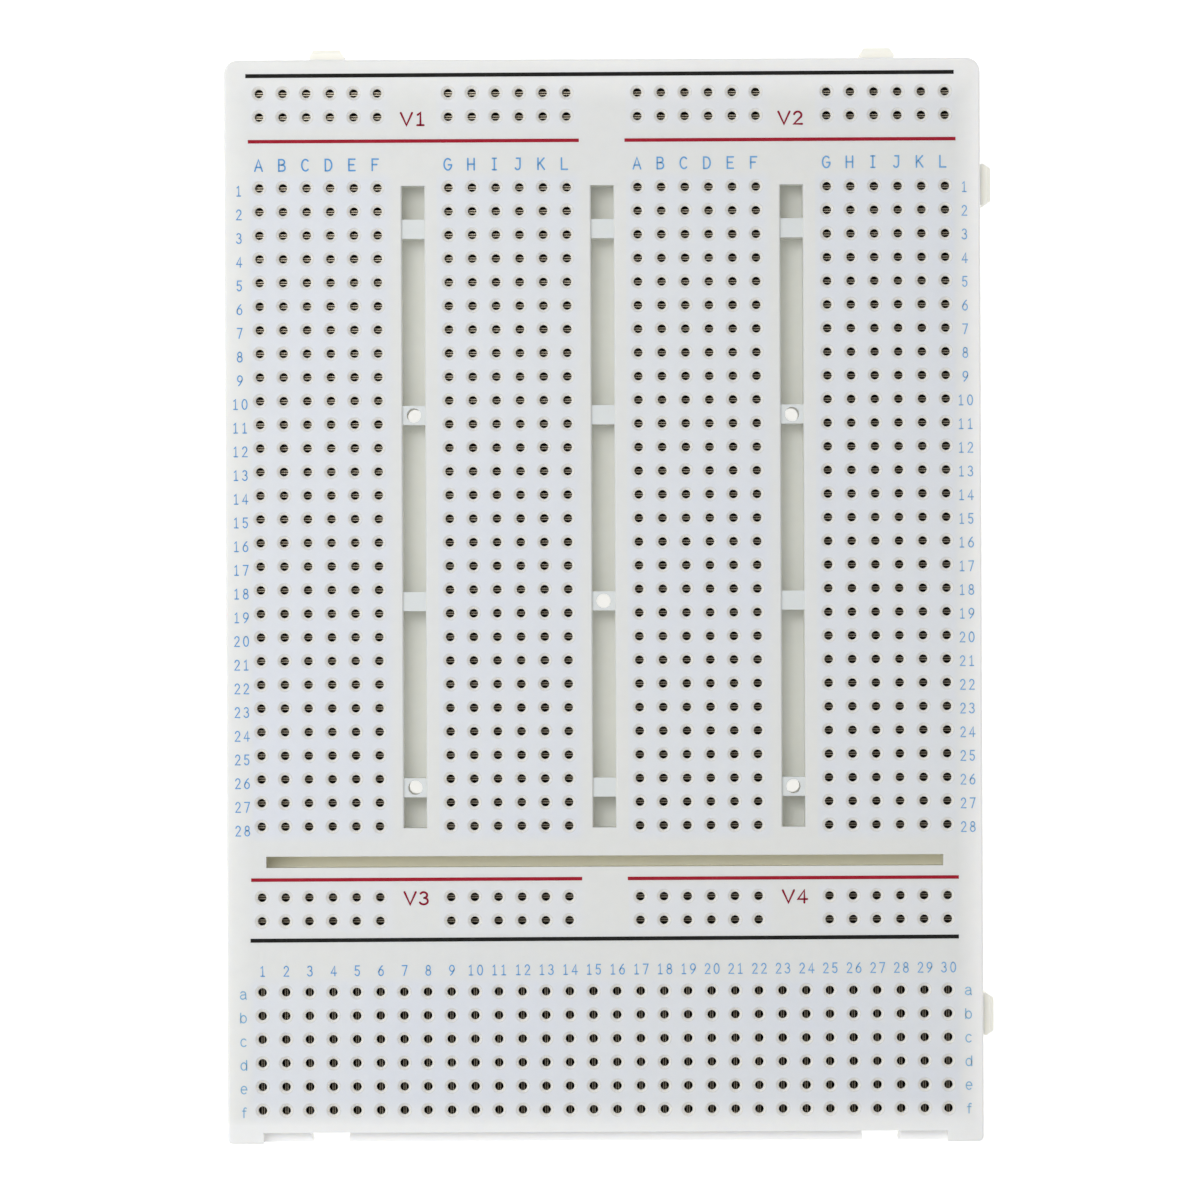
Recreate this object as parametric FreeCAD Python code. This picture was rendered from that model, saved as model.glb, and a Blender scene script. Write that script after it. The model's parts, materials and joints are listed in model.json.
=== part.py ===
"""Solderless breadboard with 948 tie points on a 2.54 mm grid.

The board lies flat with +Z up. X runs along the lettered columns and Y up the
numbered rows. The origin is on the axis of the middle screw hole, which is also the
middle of the tie-point grid, at the level of the surface that the board lies on.

From the bottom up the board is a release liner, a sheet of double-sided foam tape, the
sprung contact clips standing on the tape, and the moulded housing that holds the clips
in pockets open from below. All sizes are in millimetres.
"""

import FreeCAD, Part
import os

# ---- driving dimensions -------------------------------------------------------------

PITCH = 2.54
GRID_COLUMNS = 30
GRID_ROWS = 44

# grid columns of the four blocks of six, left to right
BLOCK_STARTS = (0, 8, 16, 24)
HOLES_PER_CLIP = 6
# grid rows, counted from the rear edge
TOP_GROUND_ROW = 0
TOP_SUPPLY_ROW = 1
FIRST_MAIN_ROW = 4
MAIN_ROWS = 28
LOW_SUPPLY_ROW = 34
LOW_GROUND_ROW = 35
FIRST_LETTER_ROW = 38

# backing
LINER_THICK = 0.12
FOAM_THICK = 1.0
BACKING_INSET = 1.7
BACKING_CORNER_R = 1.5
BACKING_HOLE_R = 1.5

# housing
HOUSING_BOTTOM = LINER_THICK + FOAM_THICK
HOUSING_HEIGHT = 8.5
HOUSING_TOP = HOUSING_BOTTOM + HOUSING_HEIGHT
SIDE_MARGIN = 3.77
END_MARGIN = 3.6
WIDTH = (GRID_COLUMNS - 1) * PITCH + 2 * SIDE_MARGIN
LENGTH = (GRID_ROWS - 1) * PITCH + 2 * END_MARGIN
REAR_CORNER_R = 1.5
FRONT_CORNER_R = 0.6
TOP_EDGE_R = 0.25
TOP_SKIN = 1.3

# tie-point hole: a round hole with a conical lead-in
HOLE_R = 0.46
LEAD_IN_R = 0.74
LEAD_IN_DEPTH = 0.32

# long channels between the blocks, crossed by bars that carry the screw holes
CHANNEL_WIDTH = 2.45
CHANNEL_DEPTH = 5.0
CHANNEL_OVERRUN = 0.2
CHANNEL_BREAK = 0.12
BAR_WIDTH = 2.05
BAR_DROP = 0.3
BAR_SPACING = 20.0
BAR_PLACES = (2, 1, 0, -1)
SCREW_HOLE_R = 0.75

# narrow slot between the main rows and the lower supply rails
SLOT_LENGTH = 72.7
SLOT_WIDTH = 1.2
SLOT_DEPTH = 4.0
SLOT_ROW = 32.5

# lower lip along the front edge, between two full-height corner blocks
CORNER_BLOCK = 3.85
LIP_SETBACK = 1.2
LIP_SHORT = 0.12
LIP_DROP = 2.0

# dovetail tabs on the right and rear edges, and the notches they slide up into
TAB_REACH = 1.2
TAB_ROOT_HALF = 1.8
TAB_WIDE_HALF = 1.95
TAB_WIDE_AT = 0.4
TAB_TIP_HALF = 1.4
TAB_DROP = 2.2
TAB_TOP_BREAK = 0.4
NOTCH_MOUTH_HALF = 1.9
NOTCH_INNER_HALF = 2.1
# the right tabs and the left notches are wider than the others by this on each side
SIDE_WIDER = 0.35
SIDE_TAB_Y = 44.64
END_TAB_X = 29.6

# contact clips: a trough of thin strip with a pair of spring leaves under each hole
POCKET_WIDTH = 1.9
POCKET_PAST_HOLE = 1.1
CLIP_PAST_HOLE = 1.0
CLIP_WIDTH = 1.8
STRIP_THICK = 0.15
CLIP_WALL = 1.1
LEAF_TOP = 6.75
TIP_GAP = 0.05
TIP_BREAK = 0.05
LEAF_GAP = 0.5

UP = FreeCAD.Vector(0, 0, 1)


# ---- places -------------------------------------------------------------------------


def column_x(column):
    """X of a grid column, counted from 0 at the left."""
    return (column - (GRID_COLUMNS - 1) / 2) * PITCH


def row_y(row):
    """Y of a grid row, counted from 0 at the rear edge. Half rows lie between rows."""
    return ((GRID_ROWS - 1) / 2 - row) * PITCH


def block_columns(blocks):
    """Grid columns of the given blocks, left to right."""
    return [start + n for start in blocks for n in range(HOLES_PER_CLIP)]


def channel_centres():
    """X of the three channels, each midway between two neighbouring blocks."""
    centres = []
    for left, right in zip(BLOCK_STARTS, BLOCK_STARTS[1:]):
        last_of_left = left + HOLES_PER_CLIP - 1
        centres.append((column_x(last_of_left) + column_x(right)) / 2)
    return centres


def screw_places():
    """Middles of the five screw holes: the board's centre and a rectangle around it."""
    left, middle, right = channel_centres()
    corners = [(x, y) for x in (left, right) for y in (BAR_SPACING, -BAR_SPACING)]
    return [(middle, 0.0)] + corners


def rails():
    """Name, grid row and blocks of each long supply or ground rail."""
    left_half = BLOCK_STARTS[:2]
    right_half = BLOCK_STARTS[2:]
    return [
        ("rail_ground_rear", TOP_GROUND_ROW, BLOCK_STARTS),
        ("rail_v1", TOP_SUPPLY_ROW, left_half),
        ("rail_v2", TOP_SUPPLY_ROW, right_half),
        ("rail_v3", LOW_SUPPLY_ROW, left_half),
        ("rail_v4", LOW_SUPPLY_ROW, right_half),
        ("rail_ground_front", LOW_GROUND_ROW, BLOCK_STARTS),
    ]


def tie_points():
    """Middles of all tie-point holes."""
    places = []
    for _, row, blocks in rails():
        places += [(column_x(c), row_y(row)) for c in block_columns(blocks)]
    for row in range(FIRST_MAIN_ROW, FIRST_MAIN_ROW + MAIN_ROWS):
        places += [(column_x(c), row_y(row)) for c in block_columns(BLOCK_STARTS)]
    for row in range(FIRST_LETTER_ROW, FIRST_LETTER_ROW + HOLES_PER_CLIP):
        places += [(column_x(c), row_y(row)) for c in range(GRID_COLUMNS)]
    return places


# ---- shapes in general --------------------------------------------------------------


def box(x0, x1, y0, y1, z0, z1):
    """Box between two opposite corners."""
    return Part.makeBox(x1 - x0, y1 - y0, z1 - z0, FreeCAD.Vector(x0, y0, z0))


def prism(points, run):
    """Closed polygon through the points, extruded along run."""
    corners = [FreeCAD.Vector(*p) for p in points]
    wire = Part.makePolygon(corners + corners[:1])
    return Part.Face(wire).extrude(run)


def mirrored_outline(half):
    """Outline of a shape mirrored about its own middle line, from one half's points."""
    return half + [(-a, b) for a, b in reversed(half)]


# ---- clips --------------------------------------------------------------------------


def clip_section():
    """Clip cross-section as (sideways, up) points: flat bottom, two walls, leaned leaves.

    The leaves lean in until their square-cut tips almost meet under the tie points, with
    their inner corners taken off to guide a lead in.
    """
    tip = TIP_GAP / 2
    outside = [
        (0.0, 0.0),
        (CLIP_WIDTH / 2, 0.0),
        (CLIP_WIDTH / 2, CLIP_WALL),
        (tip + STRIP_THICK, LEAF_TOP),
    ]
    inside = [
        (tip + TIP_BREAK, LEAF_TOP),
        (tip, LEAF_TOP - TIP_BREAK),
        (CLIP_WIDTH / 2 - STRIP_THICK, CLIP_WALL),
        (CLIP_WIDTH / 2 - STRIP_THICK, STRIP_THICK),
        (0.0, STRIP_THICK),
    ]
    half = outside + inside
    other = [(-across, up) for across, up in reversed(half[1:-1])]
    return half + other


def make_clip(holes):
    """Clip along X from hole 0, with spring leaves at each place in holes (in pitches)."""
    start = holes[0] * PITCH - CLIP_PAST_HOLE
    end = holes[-1] * PITCH + CLIP_PAST_HOLE
    section = [(start, across, up) for across, up in clip_section()]
    strip = prism(section, FreeCAD.Vector(end - start, 0, 0))
    leaf_half = (PITCH - LEAF_GAP) / 2
    cuts = []
    for hole, following in zip(holes, holes[1:]):
        gap_start = hole * PITCH + leaf_half
        gap_end = following * PITCH - leaf_half
        cuts.append(
            box(gap_start, gap_end, -CLIP_WIDTH, CLIP_WIDTH, CLIP_WALL, LEAF_TOP + 1)
        )
    return strip.cut(Part.makeCompound(cuts))


def row_clip_at(clip, column, row):
    """Copy of a clip along X, with its first leaves under the given hole."""
    return clip.translated(FreeCAD.Vector(column_x(column), row_y(row), HOUSING_BOTTOM))


def main_row_clips(clip):
    """Node name and four clips of each numbered row, one clip per block."""
    nodes = {}
    for number in range(1, MAIN_ROWS + 1):
        row = FIRST_MAIN_ROW + number - 1
        clips = [row_clip_at(clip, column, row) for column in BLOCK_STARTS]
        nodes[f"row_{number:02d}_clips"] = clips
    return nodes


def letter_column_clips(clip):
    """Node name and two clips of each pair of numbered columns in the lettered strip."""
    turned = clip.copy()
    turned.rotate(FreeCAD.Vector(0, 0, 0), UP, -90)
    nodes = {}
    for column in range(0, GRID_COLUMNS, 2):
        pair = [row_clip_at(turned, c, FIRST_LETTER_ROW) for c in (column, column + 1)]
        nodes[f"column_{column + 1:02d}_{column + 2:02d}_clips"] = pair
    return nodes


def rail_strips():
    """Node name and strip of each long rail."""
    nodes = {}
    for name, row, blocks in rails():
        columns = block_columns(blocks)
        first = columns[0]
        strip = make_clip([c - first for c in columns])
        nodes[name] = [row_clip_at(strip, first, row)]
    return nodes


# ---- housing ------------------------------------------------------------------------


def housing_blank():
    """Solid block with rounded corners, rounder at the rear, and a softened top edge."""
    blank = box(-WIDTH / 2, WIDTH / 2, -LENGTH / 2, LENGTH / 2, HOUSING_BOTTOM, HOUSING_TOP)
    upright = [e for e in blank.Edges if e.BoundBox.ZLength > HOUSING_HEIGHT / 2]
    rear = [e for e in upright if e.BoundBox.YMin > 0]
    front = [e for e in upright if e.BoundBox.YMax < 0]
    blank = blank.makeFillet(REAR_CORNER_R, rear)
    blank = blank.makeFillet(FRONT_CORNER_R, front)
    top = [e for e in blank.Edges if e.BoundBox.ZMin > HOUSING_TOP - TOP_EDGE_R]
    return blank.makeFillet(TOP_EDGE_R, top)


def tab_outline(wider):
    """Outline of a tab as (sideways, outwards), starting inside the housing wall."""
    return mirrored_outline(
        [
            (TAB_ROOT_HALF + wider, -1.0),
            (TAB_ROOT_HALF + wider, 0.0),
            (TAB_WIDE_HALF + wider, TAB_WIDE_AT),
            (TAB_TIP_HALF + wider, TAB_REACH),
        ]
    )


def tab(height, wider=0.0):
    """Dovetail tab that stands out along +Y from the plane y = 0, with its tip sloped on top."""
    body = prism([(a, b, 0) for a, b in tab_outline(wider)], UP * height)
    slope = prism(
        [
            (-PITCH, TAB_REACH - TAB_TOP_BREAK, height),
            (-PITCH, TAB_REACH, height - TAB_TOP_BREAK),
            (-PITCH, TAB_REACH, height),
        ],
        FreeCAD.Vector(2 * PITCH, 0, 0),
    )
    return body.cut(slope)


def notch(depth, height, wider=0.0):
    """Dovetail notch tool that runs inwards along +Y from just outside the plane y = 0."""
    mouth = NOTCH_MOUTH_HALF + wider
    inner = NOTCH_INNER_HALF + wider
    outline = mirrored_outline([(mouth - (inner - mouth) / depth, -1.0), (inner, depth)])
    return prism([(a, b, 0) for a, b in outline], UP * height)


def turned_to(shape, degrees, x, y):
    """Copy of a shape turned about +Z and set on the housing's underside at x, y."""
    moved = shape.copy()
    moved.rotate(FreeCAD.Vector(0, 0, 0), UP, degrees)
    moved.translate(FreeCAD.Vector(x, y, HOUSING_BOTTOM))
    return moved


def tabs():
    """Two tabs on the right edge and two on the rear edge."""
    side_tab = tab(HOUSING_HEIGHT - TAB_DROP, SIDE_WIDER)
    right = [turned_to(side_tab, -90, WIDTH / 2, y) for y in (SIDE_TAB_Y, -SIDE_TAB_Y)]
    end_tab = tab(HOUSING_HEIGHT - TAB_DROP)
    rear = [turned_to(end_tab, 0, x, LENGTH / 2) for x in (-END_TAB_X, END_TAB_X)]
    return right + rear


def edge_cuts():
    """Lip and notches along the front edge, and the hidden notches in the left edge."""
    front = -LENGTH / 2
    inner_x = WIDTH / 2 - CORNER_BLOCK
    step_y = front + LIP_SETBACK
    lip_top = HOUSING_TOP - LIP_DROP
    above_lip = box(-inner_x, inner_x, front - 1, step_y, lip_top, HOUSING_TOP + 1)
    before_lip = box(
        -inner_x, inner_x, front - 1, front + LIP_SHORT, HOUSING_BOTTOM - 1, lip_top
    )
    front_notch = notch(LIP_SETBACK, HOUSING_HEIGHT)
    front_notches = [turned_to(front_notch, 0, x, front) for x in (-END_TAB_X, END_TAB_X)]
    side_notch = notch(TAB_REACH + 0.1, HOUSING_HEIGHT - TAB_DROP + 0.3, SIDE_WIDER)
    side_notches = [
        turned_to(side_notch, -90, -WIDTH / 2, y) for y in (SIDE_TAB_Y, -SIDE_TAB_Y)
    ]
    return [above_lip, before_lip] + front_notches + side_notches


def channel_tool(x):
    """Cut for one channel: shallow over the bars and deep between them."""
    half = CHANNEL_WIDTH / 2
    rear = row_y(FIRST_MAIN_ROW) + CHANNEL_OVERRUN
    front = row_y(FIRST_MAIN_ROW + MAIN_ROWS - 1) - CHANNEL_OVERRUN
    above = HOUSING_TOP + 1
    bar_top = HOUSING_TOP - BAR_DROP
    floor = HOUSING_TOP - CHANNEL_DEPTH
    profile = [(rear, above), (rear, floor)]
    for place in BAR_PLACES:
        bar_rear = place * BAR_SPACING + BAR_WIDTH / 2
        bar_front = place * BAR_SPACING - BAR_WIDTH / 2
        profile += [
            (bar_rear, floor),
            (bar_rear, bar_top),
            (bar_front, bar_top),
            (bar_front, floor),
        ]
    profile += [(front, floor), (front, above)]
    points = [(x - half, y, z) for y, z in profile]
    return prism(points, FreeCAD.Vector(CHANNEL_WIDTH, 0, 0))


def channel_break(x):
    """Small bevel along both long edges of a channel."""
    half = CHANNEL_WIDTH / 2
    rear = row_y(FIRST_MAIN_ROW) + CHANNEL_OVERRUN
    front = row_y(FIRST_MAIN_ROW + MAIN_ROWS - 1) - CHANNEL_OVERRUN
    outer = half + CHANNEL_BREAK
    points = [
        (x - outer, rear, HOUSING_TOP),
        (x - half, rear, HOUSING_TOP - CHANNEL_BREAK),
        (x + half, rear, HOUSING_TOP - CHANNEL_BREAK),
        (x + outer, rear, HOUSING_TOP),
    ]
    return prism(points, FreeCAD.Vector(0, front - rear, 0))


def slot_tool():
    """Cut for the narrow slot."""
    middle = row_y(SLOT_ROW)
    return box(
        -SLOT_LENGTH / 2,
        SLOT_LENGTH / 2,
        middle - SLOT_WIDTH / 2,
        middle + SLOT_WIDTH / 2,
        HOUSING_TOP - SLOT_DEPTH,
        HOUSING_TOP + 1,
    )


def screw_hole_tools():
    """Through holes in five of the channel bars."""
    holes = []
    for x, y in screw_places():
        start = FreeCAD.Vector(x, y, HOUSING_BOTTOM - 1)
        holes.append(Part.makeCylinder(SCREW_HOLE_R, HOUSING_HEIGHT + 2, start, UP))
    return holes


def pocket(x0, x1, y0, y1):
    """Clip pocket, open through the underside."""
    return box(x0, x1, y0, y1, HOUSING_BOTTOM - 1, HOUSING_TOP - TOP_SKIN)


def pocket_tools():
    """Pockets for every clip and rail."""
    half = POCKET_WIDTH / 2
    past = POCKET_PAST_HOLE
    run = (HOLES_PER_CLIP - 1) * PITCH
    tools = []
    for row in range(FIRST_MAIN_ROW, FIRST_MAIN_ROW + MAIN_ROWS):
        y = row_y(row)
        for column in BLOCK_STARTS:
            x = column_x(column)
            tools.append(pocket(x - past, x + run + past, y - half, y + half))
    for _, row, blocks in rails():
        y = row_y(row)
        columns = block_columns(blocks)
        first, last = column_x(columns[0]), column_x(columns[-1])
        tools.append(pocket(first - past, last + past, y - half, y + half))
    y = row_y(FIRST_LETTER_ROW)
    for column in range(GRID_COLUMNS):
        x = column_x(column)
        tools.append(pocket(x - half, x + half, y - run - past, y + past))
    return tools


def tie_point_tools():
    """Round hole and conical lead-in for every tie point."""
    low = HOUSING_TOP - TOP_SKIN - PITCH / 4
    cone_low = HOUSING_TOP - LEAD_IN_DEPTH
    slope = (LEAD_IN_R - HOLE_R) / LEAD_IN_DEPTH
    above = 0.2
    profile = [
        (0, 0, low),
        (HOLE_R, 0, low),
        (HOLE_R, 0, cone_low),
        (LEAD_IN_R + slope * above, 0, HOUSING_TOP + above),
        (0, 0, HOUSING_TOP + above),
    ]
    corners = [FreeCAD.Vector(*p) for p in profile]
    face = Part.Face(Part.makePolygon(corners + corners[:1]))
    one = face.revolve(FreeCAD.Vector(0, 0, 0), UP, 360)
    return [one.translated(FreeCAD.Vector(x, y, 0)) for x, y in tie_points()]


def make_housing():
    """Moulded housing in one piece."""
    shape = housing_blank().fuse(tabs())
    shape = shape.cut(Part.makeCompound(edge_cuts()))
    for x in channel_centres():
        shape = shape.cut(channel_tool(x))
        shape = shape.cut(channel_break(x))
    shape = shape.cut(Part.makeCompound(screw_hole_tools() + [slot_tool()]))
    shape = shape.cut(Part.makeCompound(pocket_tools()))
    shape = shape.cut(Part.makeCompound(tie_point_tools()))
    return shape


# ---- backing ------------------------------------------------------------------------


def backing_sheet(low, high):
    """Sheet under the housing, with clearance holes at the screw places."""
    x = WIDTH / 2 - BACKING_INSET
    y = LENGTH / 2 - BACKING_INSET
    sheet = box(-x, x, -y, y, low, high)
    upright = [e for e in sheet.Edges if e.BoundBox.ZLength > (high - low) / 2]
    sheet = sheet.makeFillet(BACKING_CORNER_R, upright)
    holes = []
    for hole_x, hole_y in screw_places():
        start = FreeCAD.Vector(hole_x, hole_y, low - 1)
        holes.append(Part.makeCylinder(BACKING_HOLE_R, high - low + 2, start, UP))
    return sheet.cut(Part.makeCompound(holes))


# ---- assembly -----------------------------------------------------------------------


def make_nodes():
    """Solids of every node, by node name."""
    clip = make_clip(list(range(HOLES_PER_CLIP)))
    nodes = {
        "housing": [make_housing()],
        "foam_tape": [backing_sheet(LINER_THICK, HOUSING_BOTTOM)],
        "release_liner": [backing_sheet(0.0, LINER_THICK)],
    }
    nodes.update(rail_strips())
    nodes.update(main_row_clips(clip))
    nodes.update(letter_column_clips(clip))
    return nodes


def solids_in(shapes):
    """Every solid in a list of shapes."""
    return [solid for shape in shapes for solid in shape.Solids]


os.makedirs("parts", exist_ok=True)
for name, shapes in make_nodes().items():
    solids = solids_in(shapes)
    if len(solids) == 1:
        solids[0].exportStep(f"parts/{name}.step")
    else:
        Part.makeCompound(solids).exportStep(f"parts/{name}.step")
    volume = sum(solid.Volume for solid in solids)
    valid = all(solid.isValid() for solid in solids)
    print(f"{name}: {len(solids)} solid(s), {volume:.1f} mm3, valid {valid}")
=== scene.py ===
"""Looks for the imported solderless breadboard: materials, printed legend, floor, light and camera.

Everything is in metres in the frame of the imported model: the board lies flat, +Z is up, +X
runs to the right across the lettered columns and +Y to the rear, from row 28 towards row 1.
MM turns millimetres into metres.
"""

import json
import math

import bmesh
import bpy
from mathutils import Matrix, Vector


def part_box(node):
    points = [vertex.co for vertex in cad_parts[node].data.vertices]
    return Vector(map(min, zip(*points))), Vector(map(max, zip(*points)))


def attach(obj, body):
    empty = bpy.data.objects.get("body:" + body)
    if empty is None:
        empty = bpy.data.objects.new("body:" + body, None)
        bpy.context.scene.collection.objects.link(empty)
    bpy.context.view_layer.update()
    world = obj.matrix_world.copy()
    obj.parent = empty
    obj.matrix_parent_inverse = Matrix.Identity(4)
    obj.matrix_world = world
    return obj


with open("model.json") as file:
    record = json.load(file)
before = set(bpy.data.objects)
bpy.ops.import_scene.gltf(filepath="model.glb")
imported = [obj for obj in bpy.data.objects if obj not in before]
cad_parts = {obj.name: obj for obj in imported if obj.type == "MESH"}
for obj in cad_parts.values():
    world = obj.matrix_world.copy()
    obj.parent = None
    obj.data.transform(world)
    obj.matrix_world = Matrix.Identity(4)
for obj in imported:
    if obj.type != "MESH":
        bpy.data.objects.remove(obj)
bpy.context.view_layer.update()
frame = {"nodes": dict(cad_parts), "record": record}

MM = 0.001
PITCH = 2.54
GRID_COLUMNS = 30
GRID_ROWS = 44
BLOCK_STARTS = (0, 8, 16, 24)
HOLES_PER_BLOCK = 6
FIRST_MAIN_ROW = 4
MAIN_ROWS = 28
FIRST_LETTER_ROW = 38
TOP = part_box("housing")[1].z / MM
SLOT_Y = -11 * PITCH * MM
SLOT_HALF = 0.75 * MM
CHANNEL_STEP = 8 * PITCH * MM
CHANNEL_WIDTH = 2.45 * MM

# colours of the white plastic, from its face down into its pockets; most of them also paint light
# and shade: a lighter border, lead-ins, deep places, walls, lip and tabs, and a darker clip face,
# lead-in edges, bars and pockets
THICK_WHITE = ((0.755, 0.765, 0.755), (0.765, 0.77, 0.745))
CLIP_SHADED_WHITE = ((0.725, 0.750, 0.795), (0.745, 0.765, 0.785))
RAIL_SHADED_WHITE = (0.755, 0.768, 0.782)
RIM_LIT_WHITE = ((0.825, 0.83, 0.81), (0.90, 0.895, 0.88))
FRONT_RIM_LIT_WHITE = (0.885, 0.89, 0.88)
LEAD_IN_EDGE_SHADE = (0.60, 0.585, 0.53)
LEAD_IN_LIT_WHITE = (0.86, 0.845, 0.80)
BAR_SHADED_WHITE = (0.715, 0.745, 0.735)
CHANNEL_LIT_WHITE = (0.87, 0.875, 0.82)
SLOT_SHADED_TAN = (0.865, 0.84, 0.69)
POCKET_SHADE = (0.28, 0.25, 0.20)
WALL_LIT_WHITE = (0.87, 0.87, 0.845)
LIP_LIT_WHITE = (0.885, 0.885, 0.89)
TAB_LIT_WHITE = (0.90, 0.885, 0.80)

BLUE_INK = (0.10, 0.32, 0.65)
PALE_BLUE_INK = (0.19, 0.43, 0.66)
RED_INK = (0.33, 0.006, 0.020)
DEEP_RED_INK = (0.24, 0.002, 0.022)
BLACK_INK = (0.006, 0.0058, 0.005)
THIN_BLUE = (0.17, 0.41, 0.73)
THIN_PALE_BLUE = (0.27, 0.49, 0.71)
THIN_RED = (0.40, 0.012, 0.032)
THIN_DEEP_RED = (0.31, 0.004, 0.032)
THIN_BLACK = (0.014, 0.014, 0.012)
WORN_BLUE = (0.38, 0.60, 0.76)


def column_x(column):
    """X of a grid column in millimetres, counted from 0 at the left."""
    return (column - (GRID_COLUMNS - 1) / 2) * PITCH


def row_y(row):
    """Y of a grid row in millimetres, counted from 0 at the rear edge."""
    return ((GRID_ROWS - 1) / 2 - row) * PITCH


# ---- node helpers --------------------------------------------------------------------


class Shader:
    """A material with a Principled surface, and short ways to add nodes to it."""

    def __init__(self, name):
        self.material = bpy.data.materials.new(name)
        self.material.use_nodes = True
        self.tree = self.material.node_tree
        self.surface = self.tree.nodes["Principled BSDF"]
        self.place = self.add("ShaderNodeTexCoord").outputs["Object"]

    def add(self, kind, **settings):
        """New node with its settings."""
        node = self.tree.nodes.new(kind)
        for key, value in settings.items():
            setattr(node, key, value)
        return node

    def link(self, source, target):
        """Wire from an output to an input."""
        self.tree.links.new(source, target)

    def set(self, **values):
        """Plain values on the surface's own sockets, underscores standing for spaces."""
        for key, value in values.items():
            self.surface.inputs[key.replace("_", " ")].default_value = value

    def noise(self, scale, detail=3.0, rough=0.55, stretch=None):
        """Noise pattern of the given scale per metre, with optional stretch per axis."""
        node = self.add("ShaderNodeTexNoise")
        node.inputs["Scale"].default_value = scale
        node.inputs["Detail"].default_value = detail
        node.inputs["Roughness"].default_value = rough
        place = self.place
        if stretch:
            mapping = self.add("ShaderNodeMapping")
            mapping.inputs["Scale"].default_value = stretch
            self.link(place, mapping.inputs["Vector"])
            place = mapping.outputs["Vector"]
        self.link(place, node.inputs["Vector"])
        return node.outputs["Fac"]

    def axis(self, letter):
        """One coordinate of the surface point, in metres."""
        node = self.add("ShaderNodeSeparateXYZ")
        self.link(self.place, node.inputs[0])
        return node.outputs[letter]

    def spread(self, value, low, high, out_low=0.0, out_high=1.0):
        """Value moved from the range low..high to out_low..out_high, held at both ends."""
        node = self.add("ShaderNodeMapRange")
        for key, number in (
            ("From Min", low),
            ("From Max", high),
            ("To Min", out_low),
            ("To Max", out_high),
        ):
            node.inputs[key].default_value = number
        self.link(value, node.inputs["Value"])
        return node.outputs["Result"]

    def band(self, value, low, high, soft=0.02):
        """One where the value lies from low to high, fading to zero over the soft width."""
        rise = self.spread(value, low - soft, low + soft)
        fall = self.spread(value, high - soft, high + soft, 1.0, 0.0)
        return self.math("MULTIPLY", rise, fall)

    def math(self, operation, a, b):
        """Sum, product or another operation of two values, each a number or an output."""
        node = self.add("ShaderNodeMath", operation=operation)
        for socket, value in zip(node.inputs, (a, b)):
            if isinstance(value, (int, float)):
                socket.default_value = value
            else:
                self.link(value, socket)
        return node.outputs[0]

    def mix(self, factor, a, b):
        """Colour between a and b, each a colour or an output."""
        node = self.add("ShaderNodeMix", data_type="RGBA")
        self.link(factor, node.inputs["Factor"])
        for key, value in (("A", a), ("B", b)):
            socket = [s for s in node.inputs if s.name == key and s.type == "RGBA"][0]
            if isinstance(value, tuple):
                socket.default_value = (*value, 1.0)
            else:
                self.link(value, socket)
        return [s for s in node.outputs if s.type == "RGBA"][0]

    def bump(self, height, distance, strength=1.0, after=None):
        """Bump of the given height pattern; distance in metres."""
        node = self.add("ShaderNodeBump")
        node.inputs["Strength"].default_value = strength
        node.inputs["Distance"].default_value = distance
        self.link(height, node.inputs["Height"])
        if after is not None:
            self.link(after, node.inputs["Normal"])
        return node.outputs["Normal"]

    def paint(self, color, roughness=None, normal=None):
        """Wires a colour and, where given, a roughness and a bump into the surface."""
        for key, output in (("Base Color", color), ("Roughness", roughness), ("Normal", normal)):
            if output is not None:
                self.link(output, self.surface.inputs[key])


# ---- materials -----------------------------------------------------------------------


def tie_point_pattern(s):
    """Millimetres from the nearest grid crossing, and masks of the main and the rail holes."""
    column = s.math("ADD", s.math("DIVIDE", s.axis("X"), PITCH * MM), (GRID_COLUMNS - 1) / 2)
    row = s.math("SUBTRACT", (GRID_ROWS - 1) / 2, s.math("DIVIDE", s.axis("Y"), PITCH * MM))
    squares = []
    for place in (column, row):
        off = s.math("SUBTRACT", place, s.math("ROUND", place, 0.0))
        squares.append(s.math("MULTIPLY", off, off))
    radius = s.math("MULTIPLY", s.math("SQRT", s.math("ADD", *squares), 0.0), PITCH)
    soft = 0.2
    blocks = s.band(s.math("MODULO", s.math("ADD", column, 0.5), 8.0), 0.0, 6.0, soft)
    rail_rows = s.math("MAXIMUM", s.band(row, -0.5, 1.5, soft), s.band(row, 33.5, 35.5, soft))
    main = s.math("MULTIPLY", blocks, s.band(row, 3.5, 31.5, soft))
    main = s.math("MAXIMUM", main, s.band(row, 37.5, 43.5, soft))
    inside = s.band(column, -0.5, 29.5, soft)
    rails = s.math("MULTIPLY", blocks, rail_rows)
    return radius, s.math("MULTIPLY", main, inside), s.math("MULTIPLY", rails, inside)


def past_edge(s, letter, edge):
    """Metres that the surface point lies outside the edge at the given low end of an axis."""
    return s.math("ADD", s.math("ABSOLUTE", s.axis(letter), 0.0), edge)


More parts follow.
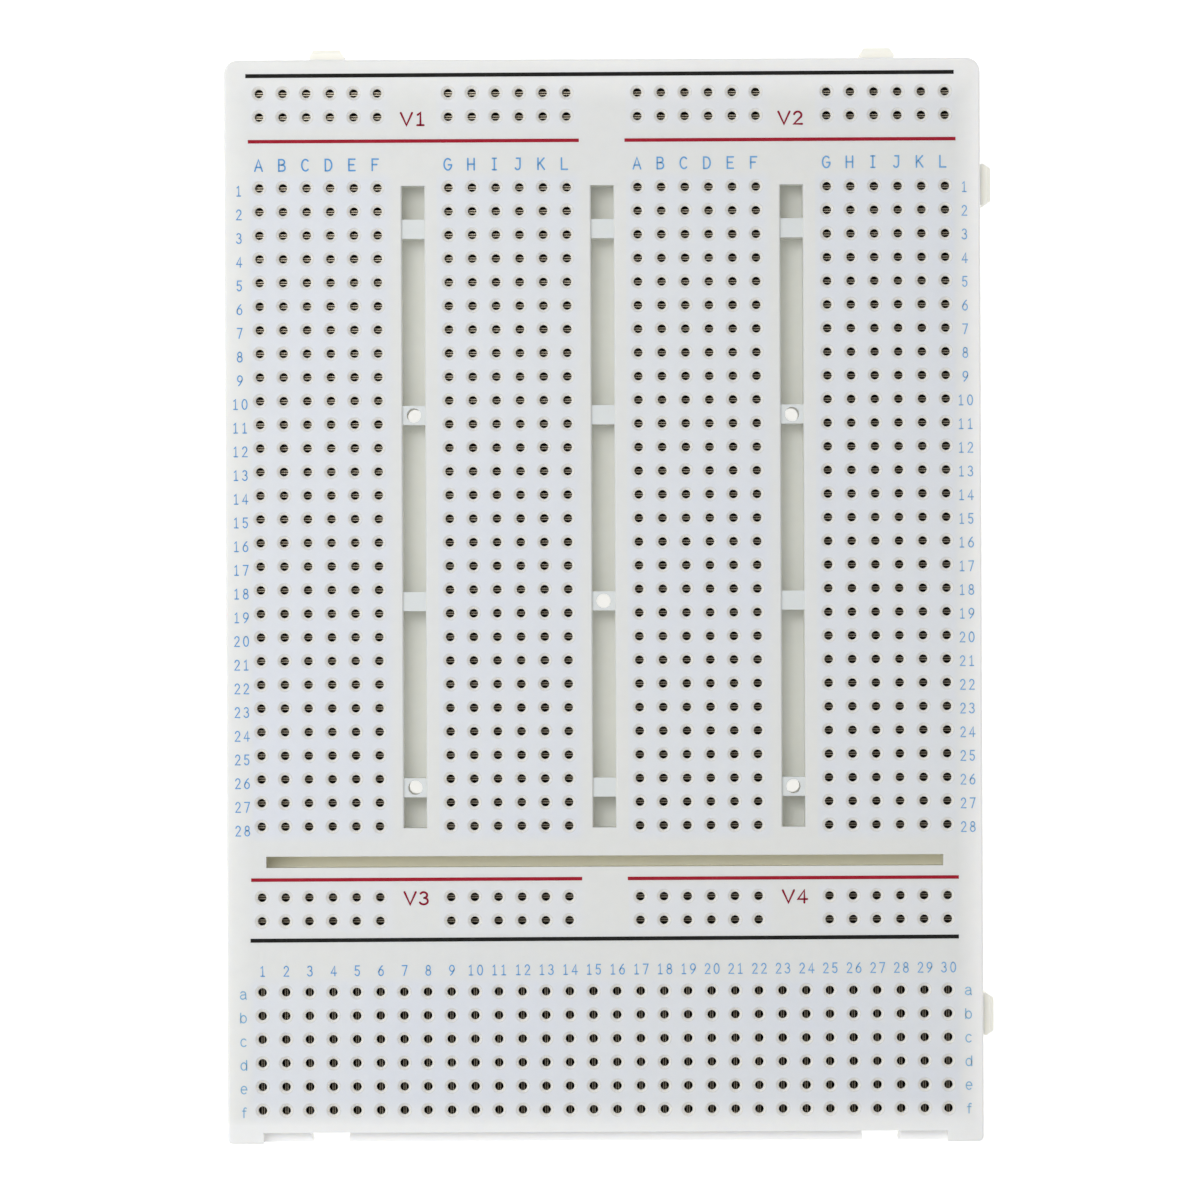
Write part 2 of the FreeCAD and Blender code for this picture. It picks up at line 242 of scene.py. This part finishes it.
def face_color(s, low, depth, hole_masks):
    """Colour of the top face, the lead-ins and the bars across the channels, with painted light and
    shade: the face over the clips painted cooler and darker, the border and the lead-ins painted
    lighter, a darker line at each lead-in's edge, and darker bars.
    """
    radius, main, rails, there = hole_masks
    thick = s.mix(s.spread(s.noise(22.0, 2.0), 0.35, 0.65), *THICK_WHITE)
    # painted shade: the face over the clip pockets and the rails is painted cooler and a little
    # darker than the thick plastic, as the shade of the pockets under the thin skin
    clip_shaded_face = s.mix(s.spread(s.noise(35.0, 2.0), 0.35, 0.65), *CLIP_SHADED_WHITE)
    face = s.mix(rails, thick, RAIL_SHADED_WHITE)
    face = s.mix(main, face, clip_shaded_face)

    # painted light: the border is painted lighter and creamier than the face, lighter towards the
    # right and near the front, standing in for light coming through the plastic's edge
    side_border = s.spread(past_edge(s, "X", low.x), -2.8 * MM, -0.2 * MM)
    end_border = s.spread(past_edge(s, "Y", low.y), -4.8 * MM, -2.0 * MM, 0.0, 0.85)
    lit_rim = s.mix(s.spread(s.axis("X"), low.x, -low.x), *RIM_LIT_WHITE)
    near_front = s.spread(s.axis("Y"), low.y + 2.8 * MM, low.y + 2.0 * MM)
    lit_rim = s.mix(near_front, lit_rim, FRONT_RIM_LIT_WHITE)
    face = s.mix(s.math("MAXIMUM", side_border, end_border), face, lit_rim)

    # painted shade: a darker line at the outer edge of each lead-in
    edge_shade_line = s.math("MULTIPLY", there, s.band(radius, 0.70, 0.80, 0.04))
    face = s.mix(s.math("MULTIPLY", edge_shade_line, 0.45), face, LEAD_IN_EDGE_SHADE)
    # painted light: the lead-ins are painted lighter and creamier than the face, standing in for
    # light coming through the plastic
    in_lead_in = s.math("MULTIPLY", there, s.spread(depth, 0.01 * MM, 0.06 * MM))
    face = s.mix(in_lead_in, face, LEAD_IN_LIT_WHITE)

    # painted shade: the bars across the channels, set a little below the face, are painted darker
    # than it
    off_channels = s.math("SUBTRACT", s.math("ABSOLUTE", s.axis("X"), 0.0), CHANNEL_STEP / 2)
    off_channels = s.math("ABSOLUTE", off_channels, 0.0)
    near = (CHANNEL_STEP - CHANNEL_WIDTH) / 2
    far = (CHANNEL_STEP + CHANNEL_WIDTH) / 2
    in_channel = s.band(off_channels, near, far, 0.05 * MM)
    on_bar = s.math("MULTIPLY", in_channel, s.spread(depth, 0.2 * MM, 0.28 * MM))
    on_bar = s.math("MULTIPLY", on_bar, s.math("SUBTRACT", 1.0, there))
    return s.mix(on_bar, face, BAR_SHADED_WHITE)


def housing_material():
    """Satin white ABS that light gets a little way into.

    Its face is painted cooler and a little darker over the clip pockets as shade, and lighter and
    creamier where it is thick, at the border and on the tabs as light through the plastic. The
    lead-ins, the deep places, the walls and the lip are painted lighter and warm as light; the
    lead-in edges, the bars and the clip pockets are painted dark as shade; and the tabs, the lip
    and the deep places get a painted glow.
    """
    s = Shader("white_abs")
    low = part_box("housing")[0]
    radius, main, rails = tie_point_pattern(s)
    there = s.math("MAXIMUM", main, rails)
    depth = s.math("SUBTRACT", TOP * MM, s.axis("Z"))
    face = face_color(s, low, depth, (radius, main, rails, there))

    from_side = past_edge(s, "X", low.x)
    from_end = past_edge(s, "Y", low.y)
    side_wall = s.spread(from_side, -0.3 * MM, -0.15 * MM)
    end_wall = s.spread(from_end, -1.4 * MM, -1.25 * MM)
    wall = s.math("MAXIMUM", side_wall, end_wall)
    wall = s.math("MULTIPLY", wall, s.spread(depth, 0.1 * MM, 0.6 * MM))
    # painted light: the deep places are painted lighter and warm, standing in for light that comes
    # through the plastic, and the slot is painted tan for the warm shade in it
    deep = s.spread(depth, 0.5 * MM, 2.0 * MM)
    deep = s.math("MULTIPLY", deep, s.math("SUBTRACT", 1.0, wall))
    slot = s.band(s.axis("Y"), SLOT_Y - SLOT_HALF, SLOT_Y + SLOT_HALF, 0.05 * MM)
    in_pocket = s.math("MULTIPLY", there, s.spread(depth, 1.3 * MM, 1.6 * MM))
    lip_top = s.math("MULTIPLY", wall, s.band(depth, 1.9 * MM, 2.1 * MM, 0.05 * MM))
    tab = s.spread(s.math("MAXIMUM", from_side, from_end), 0.05 * MM, 0.25 * MM)
    tab = s.math("MULTIPLY", wall, tab)

    color = s.mix(deep, face, s.mix(slot, CHANNEL_LIT_WHITE, SLOT_SHADED_TAN))
    # painted shade: the clip pockets below the lead-ins are painted dark
    color = s.mix(in_pocket, color, POCKET_SHADE)
    # painted light: the outer walls are painted lighter and creamier than the face
    color = s.mix(wall, color, WALL_LIT_WHITE)
    # painted light: the top of the lower lip is painted lighter and also glows a little
    color = s.mix(lip_top, color, LIP_LIT_WHITE)
    # painted light: the tabs are painted lighter and creamier and glow more than the rest
    color = s.mix(tab, color, TAB_LIT_WHITE)
    speckled = s.add("ShaderNodeVectorMath", operation="SCALE")
    s.link(color, speckled.inputs[0])
    s.link(s.spread(s.noise(900.0, 4.0), 0.3, 0.75, 0.985, 1.01), speckled.inputs["Scale"])

    roughness = s.spread(s.noise(140.0, 5.0, 0.7), 0.3, 0.7, 0.36, 0.48)
    waviness = s.bump(s.noise(55.0, 2.0), 0.02 * MM, 0.35)
    grain = s.bump(s.noise(5200.0, 4.0, 0.6), 0.006 * MM, 0.5, after=waviness)
    s.paint(speckled.outputs[0], roughness, grain)
    s.set(IOR=1.53, Specular_IOR_Level=0.45, Subsurface_Weight=0.3, Subsurface_Scale=0.0012)
    s.set(Subsurface_Radius=(1.0, 0.9, 0.7), Emission_Color=(1.0, 0.99, 0.93, 1.0))

    # painted glow: emission standing in for light that the white table and the plastic around pass
    # into the thin and the deep places
    painted_glow = s.math("MULTIPLY", deep, s.math("SUBTRACT", 1.0, in_pocket))
    painted_glow = s.math("MULTIPLY", painted_glow, 0.02)
    for place, strength in ((tab, 0.09), (lip_top, 0.07)):
        painted_glow = s.math("ADD", painted_glow, s.math("MULTIPLY", place, strength))
    s.link(painted_glow, s.surface.inputs["Emission Strength"])
    return s.material


def contact_material():
    """Nickel-plated phosphor bronze strip with drawing lines and dulled patches, its colour painted
    far darker than nickel as the shade inside the holes.
    """
    s = Shader("contact_strip")
    dulled = s.spread(s.noise(160.0, 3.0), 0.35, 0.7)
    # painted shade: the plate colour is set far darker than nickel so that the contacts stay dark
    # in the holes, with only the key light's highlight bright
    shaded_plate = s.mix(dulled, (0.25, 0.225, 0.18), (0.18, 0.155, 0.12))
    roughness = s.spread(s.noise(900.0, 4.0, 0.6), 0.3, 0.7, 0.20, 0.32)
    drawn = s.bump(s.noise(1500.0, 3.0, 0.6, stretch=(1.0, 1.0, 9.0)), 0.004 * MM, 0.4)
    s.paint(shaded_plate, roughness, drawn)
    s.set(Metallic=1.0)
    return s.material


def foam_material():
    """White closed-cell foam with small open cells on its cut edge."""
    s = Shader("foam_tape")
    color = s.mix(s.spread(s.noise(700.0, 4.0), 0.35, 0.7), (0.80, 0.79, 0.75), (0.70, 0.69, 0.64))
    cells = s.add("ShaderNodeTexVoronoi")
    cells.inputs["Scale"].default_value = 5200.0
    s.link(s.place, cells.inputs["Vector"])
    roughness = s.spread(s.noise(300.0), 0.3, 0.7, 0.75, 0.95)
    s.paint(color, roughness, s.bump(cells.outputs["Distance"], 0.08 * MM, 0.8))
    return s.material


def liner_material():
    """Waxed kraft release paper with faint fibres."""
    s = Shader("release_paper")
    fibres = s.spread(s.noise(260.0, 6.0, 0.7, stretch=(1.0, 6.0, 1.0)), 0.3, 0.7)
    color = s.mix(fibres, (0.66, 0.52, 0.31), (0.74, 0.62, 0.41))
    roughness = s.spread(s.noise(120.0, 3.0), 0.3, 0.7, 0.38, 0.55)
    s.paint(color, roughness, s.bump(fibres, 0.01 * MM, 0.4))
    return s.material


def ink_material(name, ink, thin, fade=0.0):
    """Printed ink, a little uneven, so that it thins in places and can fade to the right."""
    s = Shader(name)
    patches = s.spread(s.noise(1400.0, 4.0, 0.65), 0.42, 0.75)
    color = s.mix(patches, ink, thin)
    if fade:
        worn = s.spread(s.axis("X"), -30.0 * MM, 42.0 * MM, 0.0, fade)
        color = s.mix(worn, color, WORN_BLUE)
    roughness = s.spread(s.noise(800.0), 0.3, 0.7, 0.62, 0.8)
    s.paint(color, roughness, s.bump(s.noise(6000.0), 0.003 * MM, 0.5))
    s.set(Specular_IOR_Level=0.2)
    return s.material


def floor_material():
    """Pale lit table: white, and bright enough to show through the screw holes."""
    s = Shader("pale_table")
    tint = s.mix(s.noise(3.0), (0.86, 0.86, 0.86), (0.90, 0.90, 0.89))
    s.paint(tint)
    s.set(Roughness=0.9, Emission_Color=(1.0, 1.0, 1.0, 1.0), Emission_Strength=0.56)
    return s.material


# ---- printed legend ------------------------------------------------------------------

INK_THICK = 0.012
INK_SUNK = 0.01
ROUND_ENDS = (88, 60, 30)
SQUARE_ENDS = ()
SUPPLY_LINE_HALF = 0.195
SUPPLY_LINE_X = (2.45, 20.0, 38.0)
GROUND_LINE_HALF = 0.22
GROUND_LINE_X = (-38.15, 0.0, 37.92)

# places of the print against the grid: left and right of it, and up from its row
NUMBER_MARGINS = (-2.09, 2.16)
STRIP_LETTER_MARGINS = (-2.13, 2.07)
ROW_NUMBER_UP = -0.30
BLOCK_LETTER_UP = 2.53
COLUMN_NUMBER_UP = 2.35
STRIP_LETTER_UP = -0.11
TEXT_SHIFT = -0.04

# height, width, step from one character to the next, and half the stroke, all in millimetres
NUMBERS = (1.05, 0.60, 0.97, 0.066)
CAPITALS = (1.22, 0.80, 1.20, 0.090)
SMALL_LETTERS = (1.04, 0.72, 1.10, 0.064)
LABELS = (1.32, 1.04, 1.50, 0.115)

# each ink is a printing pass of its own, turned by this many degrees on the moulding
PRINT_TURN = {"blue_ink": 0.13, "red_ink": 0.03, "black_ink": 0.12}
PRINTED_ROW_STRETCH = 1.002
PRINTED_LETTER_STEP = 2.505


def arc(cx, cy, rx, ry, start, end, steps=10):
    """Points along an ellipse from start to end, in degrees."""
    angles = [math.radians(start + (end - start) * n / steps) for n in range(steps + 1)]
    return [(cx + rx * math.cos(a), cy + ry * math.sin(a)) for a in angles]


def glyph_strokes():
    """Strokes of each character in a box 1 wide and 1 high, from its lower left corner."""
    bowl = arc(0.5, 0.76, 0.38, 0.24, 200, -90)
    return {
        "0": [arc(0.5, 0.5, 0.44, 0.5, 90, 450, 20)],
        "1": [[(0.22, 0.84), (0.5, 1.0), (0.5, 0.0)], [(0.18, 0.0), (0.82, 0.0)]],
        "2": [arc(0.48, 0.72, 0.38, 0.28, 165, -30) + [(0.08, 0.0), (0.92, 0.0)]],
        "3": [arc(0.45, 0.76, 0.36, 0.24, 150, -80), arc(0.45, 0.27, 0.43, 0.27, 80, -155)],
        "4": [[(0.70, 0.0), (0.70, 1.0), (0.04, 0.28), (0.98, 0.28)]],
        "5": [
            [(0.86, 1.0), (0.2, 1.0), (0.14, 0.56)]
            + arc(0.47, 0.31, 0.40, 0.31, 125, -150)
        ],
        "6": [
            [(0.74, 1.0), (0.50, 0.86), (0.24, 0.62)]
            + arc(0.5, 0.31, 0.42, 0.31, 165, 520, 18)
        ],
        "7": [[(0.08, 1.0), (0.92, 1.0), (0.38, 0.0)]],
        "8": [arc(0.5, 0.76, 0.34, 0.24, 90, 450, 16), arc(0.5, 0.27, 0.42, 0.27, 90, 450, 16)],
        "9": [
            [(0.26, 0.0), (0.50, 0.14), (0.76, 0.38)]
            + arc(0.5, 0.69, 0.42, 0.31, -15, 340, 18)
        ],
        "A": [[(0.0, 0.0), (0.5, 1.0), (1.0, 0.0)], [(0.17, 0.33), (0.83, 0.33)]],
        "B": [
            [(0.1, 0.0), (0.1, 1.0), (0.5, 1.0)] + arc(0.5, 0.77, 0.36, 0.23, 90, -90),
            [(0.1, 0.53), (0.54, 0.53)] + arc(0.54, 0.265, 0.4, 0.265, 90, -90) + [(0.1, 0.0)],
        ],
        "C": [arc(0.55, 0.5, 0.5, 0.5, 48, 312, 16)],
        "D": [
            [(0.08, 0.0), (0.08, 1.0), (0.4, 1.0)]
            + arc(0.4, 0.5, 0.54, 0.5, 90, -90, 14)
            + [(0.08, 0.0)]
        ],
        "E": [[(0.92, 1.0), (0.12, 1.0), (0.12, 0.0), (0.92, 0.0)], [(0.12, 0.52), (0.76, 0.52)]],
        "F": [[(0.92, 1.0), (0.12, 1.0), (0.12, 0.0)], [(0.12, 0.52), (0.72, 0.52)]],
        "G": [arc(0.52, 0.5, 0.5, 0.5, 48, 350, 18) + [(1.0, 0.46), (0.6, 0.46)]],
        "H": [[(0.08, 0.0), (0.08, 1.0)], [(0.92, 0.0), (0.92, 1.0)], [(0.08, 0.5), (0.92, 0.5)]],
        "I": [[(0.5, 0.0), (0.5, 1.0)], [(0.25, 1.0), (0.75, 1.0)], [(0.25, 0.0), (0.75, 0.0)]],
        "J": [
            [(0.35, 1.0), (0.82, 1.0), (0.82, 0.28)] + arc(0.48, 0.28, 0.34, 0.28, 0, -150),
        ],
        "K": [[(0.1, 0.0), (0.1, 1.0)], [(0.9, 1.0), (0.12, 0.42)], [(0.34, 0.58), (0.95, 0.0)]],
        "L": [[(0.12, 1.0), (0.12, 0.0), (0.9, 0.0)]],
        "V": [[(-0.08, 1.0), (0.5, 0.0), (1.08, 1.0)]],
        "a": [
            arc(0.46, 0.54, 0.38, 0.24, 155, 0, 8) + [(0.84, 0.08), (0.94, 0.0)],
            [(0.84, 0.46), (0.50, 0.45)]
            + arc(0.42, 0.22, 0.36, 0.22, 80, 290, 10)
            + [(0.84, 0.16)],
        ],
        "b": [[(0.08, 1.0), (0.08, 0.0)], arc(0.5, 0.38, 0.42, 0.38, 180, 540, 16)],
        "c": [arc(0.52, 0.39, 0.44, 0.39, 45, 315, 14)],
        "d": [[(0.92, 1.0), (0.92, 0.0)], arc(0.5, 0.38, 0.42, 0.38, 0, 360, 16)],
        "e": [[(0.08, 0.41), (0.92, 0.41)] + arc(0.5, 0.39, 0.42, 0.39, 5, 312, 16)],
        "f": [
            arc(0.68, 0.78, 0.21, 0.22, 50, 180, 6) + [(0.47, 0.0)],
            [(0.26, 0.66), (0.76, 0.66)],
        ],
    }


def stroke_sections(points, half, cap_angles):
    """Middle, sideways direction and half-width at each place along a stroke, with its end caps."""
    spots = [Vector(p) for p in points]
    spots = [p for n, p in enumerate(spots) if n == 0 or (p - spots[n - 1]).length > 1e-4]
    sections = []
    for n, spot in enumerate(spots):
        before = (spot - spots[n - 1]).normalized() if n else None
        after = (spots[n + 1] - spot).normalized() if n + 1 < len(spots) else None
        along = ((before or after) + (after or before)).normalized()
        spread = 1.0 if before is None or after is None else 1.0 / max(0.45, along.dot(after))
        side = Vector((-along.y, along.x))
        sections.append((spot, side, half * min(spread, 1.6), along))
    rounded = []
    first, last = sections[0], sections[-1]
    for angle in cap_angles:
        back, width = math.sin(math.radians(angle)), math.cos(math.radians(angle))
        rounded.append((first[0] - first[3] * half * back, first[1], half * width))
    rounded += [section[:3] for section in sections]
    for angle in reversed(cap_angles):
        on, width = math.sin(math.radians(angle)), math.cos(math.radians(angle))
        rounded.append((last[0] + last[3] * half * on, last[1], half * width))
    return rounded


def add_stroke(mesh, points, half, cap_angles):
    """Closed low ridge of ink along the points, in millimetres on the housing's face."""
    profile = ((-1.0, -INK_SUNK), (-0.94, 0.7 * INK_THICK), (-0.6, INK_THICK))
    profile += ((0.6, INK_THICK), (0.94, 0.7 * INK_THICK), (1.0, -INK_SUNK))
    rings = []
    for spot, side, width in stroke_sections(points, half, cap_angles):
        ring = []
        for across, up in profile:
            at = spot + side * (across * width)
            ring.append(mesh.verts.new((at.x * MM, at.y * MM, (TOP + up) * MM)))
        rings.append(ring)
    count = len(profile)
    for one, other in zip(rings, rings[1:]):
        for n in range(count):
            following = (n + 1) % count
            mesh.faces.new((one[n], other[n], other[following], one[following]))
    mesh.faces.new(rings[0])
    mesh.faces.new(reversed(rings[-1]))


def legend_piece(name, material, strokes, slot, cap_angles=ROUND_ENDS):
    """Piece of printed ink from a list of (points, half width)."""
    mesh = bmesh.new()
    for points, half in strokes:
        add_stroke(mesh, points, half, cap_angles)
    turn = Matrix.Rotation(math.radians(PRINT_TURN[slot]), 3, "Z")
    bmesh.ops.rotate(mesh, cent=(0, 0, 0), matrix=turn, verts=mesh.verts)
    bmesh.ops.recalc_face_normals(mesh, faces=mesh.faces)
    data = bpy.data.meshes.new(name)
    mesh.to_mesh(data)
    mesh.free()
    data.materials.append(material)
    piece = bpy.data.objects.new(name, data)
    bpy.context.scene.collection.objects.link(piece)
    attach(piece, "root")


GLYPHS = glyph_strokes()


def text_strokes(text, x, y, style):
    """Strokes of a short text centred at x, y, in one of the styles above."""
    height, width, step, half = style
    strokes = []
    for n, letter in enumerate(text):
        left = x + (n - (len(text) - 1) / 2) * step - width / 2
        for stroke in GLYPHS[letter]:
            points = [(left + px * width, y + (py - 0.5) * height) for px, py in stroke]
            strokes.append((points, half))
    return strokes


def make_legend():
    """Numbers, letters and rail lines."""
    blue = ink_material("blue_ink", BLUE_INK, THIN_BLUE, 0.28)
    pale_blue = ink_material("pale_blue_ink", PALE_BLUE_INK, THIN_PALE_BLUE, 0.20)
    red = ink_material("red_ink", RED_INK, THIN_RED)
    deep_red = ink_material("deep_red_ink", DEEP_RED_INK, THIN_DEEP_RED)
    black = ink_material("black_ink", BLACK_INK, THIN_BLACK)
    first_x, last_x = column_x(0), column_x(GRID_COLUMNS - 1)

    row_numbers = []
    for number in range(1, MAIN_ROWS + 1):
        y = row_y(FIRST_MAIN_ROW + number - 1) * PRINTED_ROW_STRETCH + ROW_NUMBER_UP
        for x in (first_x + NUMBER_MARGINS[0], last_x + NUMBER_MARGINS[1]):
            row_numbers += text_strokes(str(number), x, y, NUMBERS)
    legend_piece("row_numbers", blue, row_numbers, "blue_ink")

    block_letters = []
    for start, letters in zip(BLOCK_STARTS, ("ABCDEF", "GHIJKL", "ABCDEF", "GHIJKL")):
        middle = (column_x(start) + column_x(start + HOLES_PER_BLOCK - 1)) / 2
        for n, letter in enumerate(letters):
            x = middle + (n - (HOLES_PER_BLOCK - 1) / 2) * PRINTED_LETTER_STEP + TEXT_SHIFT
            y = row_y(FIRST_MAIN_ROW) + BLOCK_LETTER_UP
            block_letters += text_strokes(letter, x, y, CAPITALS)
    legend_piece("block_letters", blue, block_letters, "blue_ink")

    column_numbers = []
    for column in range(GRID_COLUMNS):
        x = column_x(column) + TEXT_SHIFT
        y = row_y(FIRST_LETTER_ROW) + COLUMN_NUMBER_UP
        column_numbers += text_strokes(str(column + 1), x, y, NUMBERS)
    legend_piece("column_numbers", blue, column_numbers, "blue_ink")

    strip_letters = []
    for n, letter in enumerate("abcdef"):
        y = row_y(FIRST_LETTER_ROW + n) + STRIP_LETTER_UP
        for x in (first_x + STRIP_LETTER_MARGINS[0], last_x + STRIP_LETTER_MARGINS[1]):
            strip_letters += text_strokes(letter, x, y, SMALL_LETTERS)
    legend_piece("strip_letters", pale_blue, strip_letters, "blue_ink")

    label_x = (column_x(5) + column_x(8)) / 2
    labels = []
    for text, x, y in (
        ("V1", label_x + 0.12, row_y(1) - 0.24),
        ("V2", -label_x + 0.02, row_y(1) - 0.28),
        ("V3", label_x + 0.14, row_y(34) - 0.10),
        ("V4", -label_x + 0.12, row_y(34) - 0.08),
    ):
        labels += text_strokes(text, x, y, LABELS)
    legend_piece("supply_labels", deep_red, labels, "red_ink")

    supply_lines = []
    for y in (row_y(1) - 2.60, row_y(34) + 1.93):
        for side in (-1, 1):
            points = [(side * x, y) for x in SUPPLY_LINE_X]
            supply_lines.append((points, SUPPLY_LINE_HALF))
    legend_piece("supply_lines", red, supply_lines, "red_ink", SQUARE_ENDS)

    ground_lines = []
    for y in (row_y(0) + 1.965, row_y(35) - 1.98):
        ground_lines.append(([(x, y) for x in GROUND_LINE_X], GROUND_LINE_HALF))
    legend_piece("ground_lines", black, ground_lines, "black_ink", SQUARE_ENDS)


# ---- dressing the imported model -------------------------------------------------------


def dress_nodes():
    """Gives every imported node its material, by the record's slot."""
    by_slot = {
        "housing_plastic": housing_material(),
        "contact_metal": contact_material(),
        "foam": foam_material(),
        "liner_paper": liner_material(),
    }
    slots = {part["node"]: part["material_slot"] for part in frame["record"]["subparts"]}
    for name, node in frame["nodes"].items():
        for place in range(len(node.material_slots)):
            node.material_slots[place].material = by_slot[slots[name]]


# ---- floor, light and camera ---------------------------------------------------------


def make_floor():
    """Large pale table under the board."""
    mesh = bmesh.new()
    bmesh.ops.create_grid(mesh, x_segments=8, y_segments=8, size=1.5)
    data = bpy.data.meshes.new("table")
    mesh.to_mesh(data)
    mesh.free()
    data.materials.append(floor_material())
    floor = bpy.data.objects.new("table", data)
    floor.location.z = -0.01 * MM
    bpy.context.scene.collection.objects.link(floor)


def area_light(name, place, size, power, tint=(1.0, 1.0, 1.0)):
    """Square soft light at a place, aimed at the board."""
    data = bpy.data.lights.new(name, "AREA")
    data.shape = "SQUARE"
    data.size = size
    data.energy = power
    data.color = tint
    light = bpy.data.objects.new(name, data)
    light.location = place
    light.rotation_euler = (-Vector(place)).to_track_quat("-Z", "Y").to_euler()
    bpy.context.scene.collection.objects.link(light)


def make_light():
    """Even soft light from all round, with a little more from the left."""
    world = bpy.data.worlds.new("studio")
    world.use_nodes = True
    background = world.node_tree.nodes["Background"]
    background.inputs["Color"].default_value = (0.97, 0.98, 1.0, 1.0)
    background.inputs["Strength"].default_value = 0.52
    bpy.context.scene.world = world
    area_light("top_key", (-0.15, 0.18, 0.85), 0.26, 1.65)
    area_light("left_fill", (-0.20, 0.0, 0.28), 0.20, 0.30)
    area_light("front_fill", (-0.10, -0.62, 0.80), 0.45, 0.35)


# view width in millimetres at the height of the face, height above it in metres, roll in
# degrees, and the place over the board in millimetres
VIEW_WIDTH = 128.86
CAMERA_HEIGHT = 1.0
CAMERA_ROLL = -0.23
CAMERA_X = -0.40
CAMERA_Y = 0.094


def make_camera():
    """Camera straight above the board, turned a little, with a long lens."""
    data = bpy.data.cameras.new("camera")
    data.sensor_width = 36.0
    data.lens = data.sensor_width * CAMERA_HEIGHT / (VIEW_WIDTH * MM)
    data.clip_start = 0.05
    data.clip_end = 10.0
    camera = bpy.data.objects.new("camera", data)
    camera.location = (CAMERA_X * MM, CAMERA_Y * MM, CAMERA_HEIGHT + TOP * MM)
    camera.rotation_euler = (0.0, 0.0, math.radians(CAMERA_ROLL))
    bpy.context.scene.collection.objects.link(camera)
    bpy.context.scene.camera = camera


dress_nodes()
make_legend()
make_floor()
make_light()
make_camera()
bpy.context.scene.view_settings.view_transform = "Standard"
